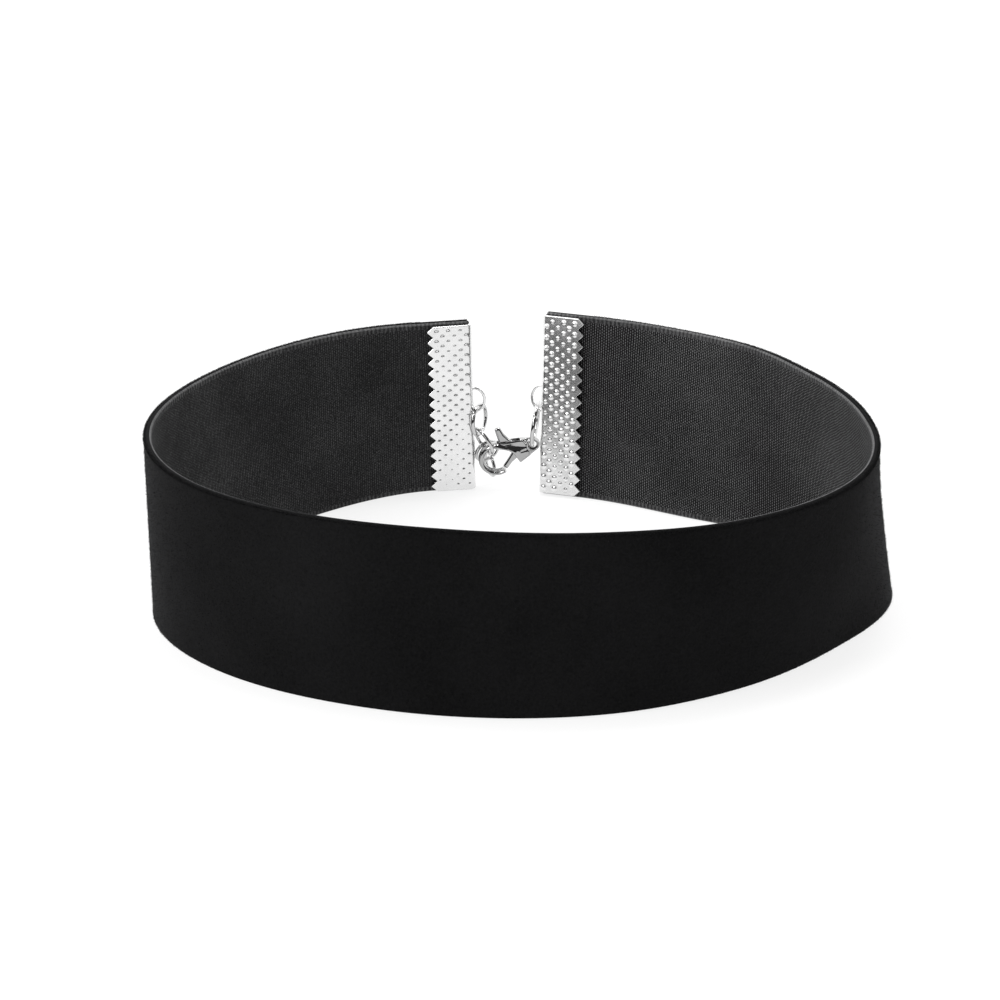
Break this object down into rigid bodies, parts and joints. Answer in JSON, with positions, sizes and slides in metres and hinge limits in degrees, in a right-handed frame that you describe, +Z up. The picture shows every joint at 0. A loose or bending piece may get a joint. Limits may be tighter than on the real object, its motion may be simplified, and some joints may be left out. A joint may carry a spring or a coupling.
{
  "type": "choker necklace",
  "caption": "Wide velvet ribbon choker with toothed metal end crimps and a lobster clasp, standing on its lower edge.",
  "frame": {"origin": "centre of the bounding box in plan, on the surface the ribbon's lower edge stands on", "axes": "+X along the longest extent, to the right in the reference view; +Z up along the ribbon's width; the throat is at -Y and the clasp at +Y"},
  "size_m": [0.1142, 0.099, 0.03],
  "materials": {
    "velvet": "black velvet pile outside, matte ribbed back inside",
    "silver": "polished silver-coloured metal"
  },
  "bodies": {
    "root": {"velvet_ribbon": "velvet", "left_crimp": "silver", "right_crimp": "silver", "left_jump_ring": "silver", "right_jump_ring": "silver", "hooked_link": "silver", "tail_link_1": "silver", "tail_link_2": "silver", "clasp_body": "silver"},
    "lever": {"clasp_lever": "silver"}
  },
  "joints": [
    {"name": "lever_hinge", "type": "hinge", "parent": "root", "child": "lever", "pos_m": [0.00026, 0.04416, 0.0066], "axis": [0, 1, 0], "range_deg": [0, 22], "stiffness_Nm_per_rad": 0.0004}
  ]
}
